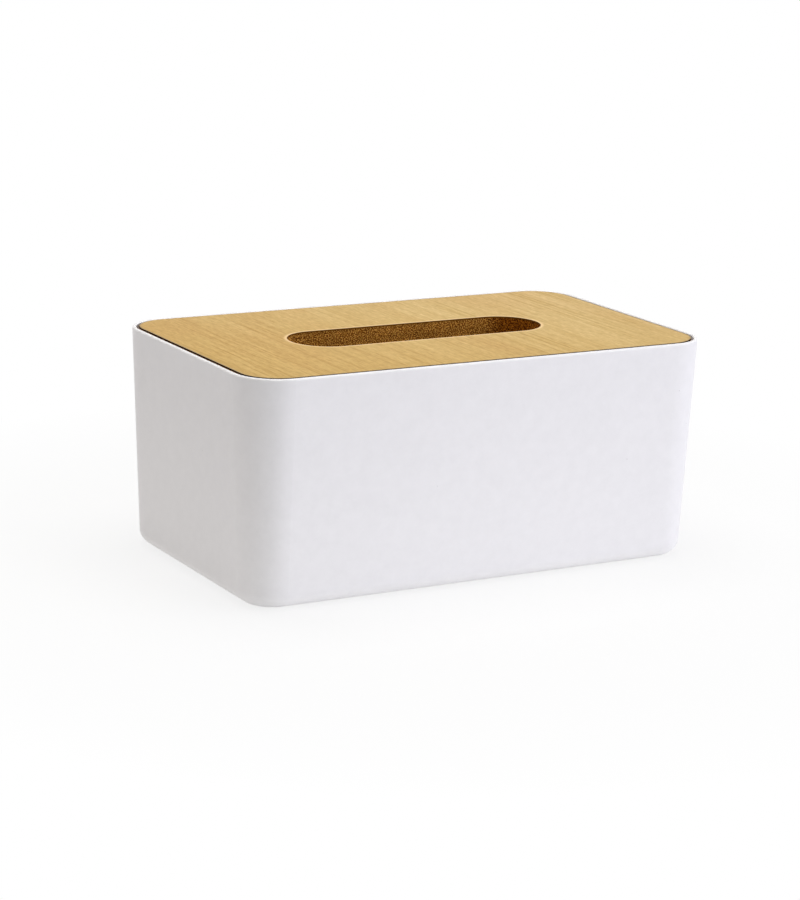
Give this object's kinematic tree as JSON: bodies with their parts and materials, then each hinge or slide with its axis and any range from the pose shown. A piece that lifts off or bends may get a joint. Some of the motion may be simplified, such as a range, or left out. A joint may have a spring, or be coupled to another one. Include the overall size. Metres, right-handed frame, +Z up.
{
  "type": "tissue box with lid",
  "caption": "Rounded rectangular tissue box: a white moulded box with a flush, lift-out wooden lid that has a long slot for pulling tissues.",
  "frame": {"origin": "middle of the footprint, on the surface that the box stands on", "axes": "+X along the length, +Y to the back, +Z up"},
  "size_m": [0.205, 0.122, 0.09],
  "materials": {
    "box_plastic": "satin moulded",
    "fibreboard": "cut fibre edge",
    "wood_veneer": "satin, straight grain",
    "backing_foil": "matte",
    "grip_rubber": "matte"
  },
  "bodies": {
    "box": {"box_body": "box_plastic", "foot_pad_front_left": "grip_rubber", "foot_pad_front_right": "grip_rubber", "foot_pad_back_left": "grip_rubber", "foot_pad_back_right": "grip_rubber"},
    "lid": {"lid_core": "fibreboard", "lid_veneer": "wood_veneer", "lid_backing": "backing_foil"}
  },
  "joints": [
    {"name": "lid_lift", "type": "slide", "parent": "box", "child": "lid", "axis": [0, 0, 1], "range_m": [0, 0.1]}
  ]
}
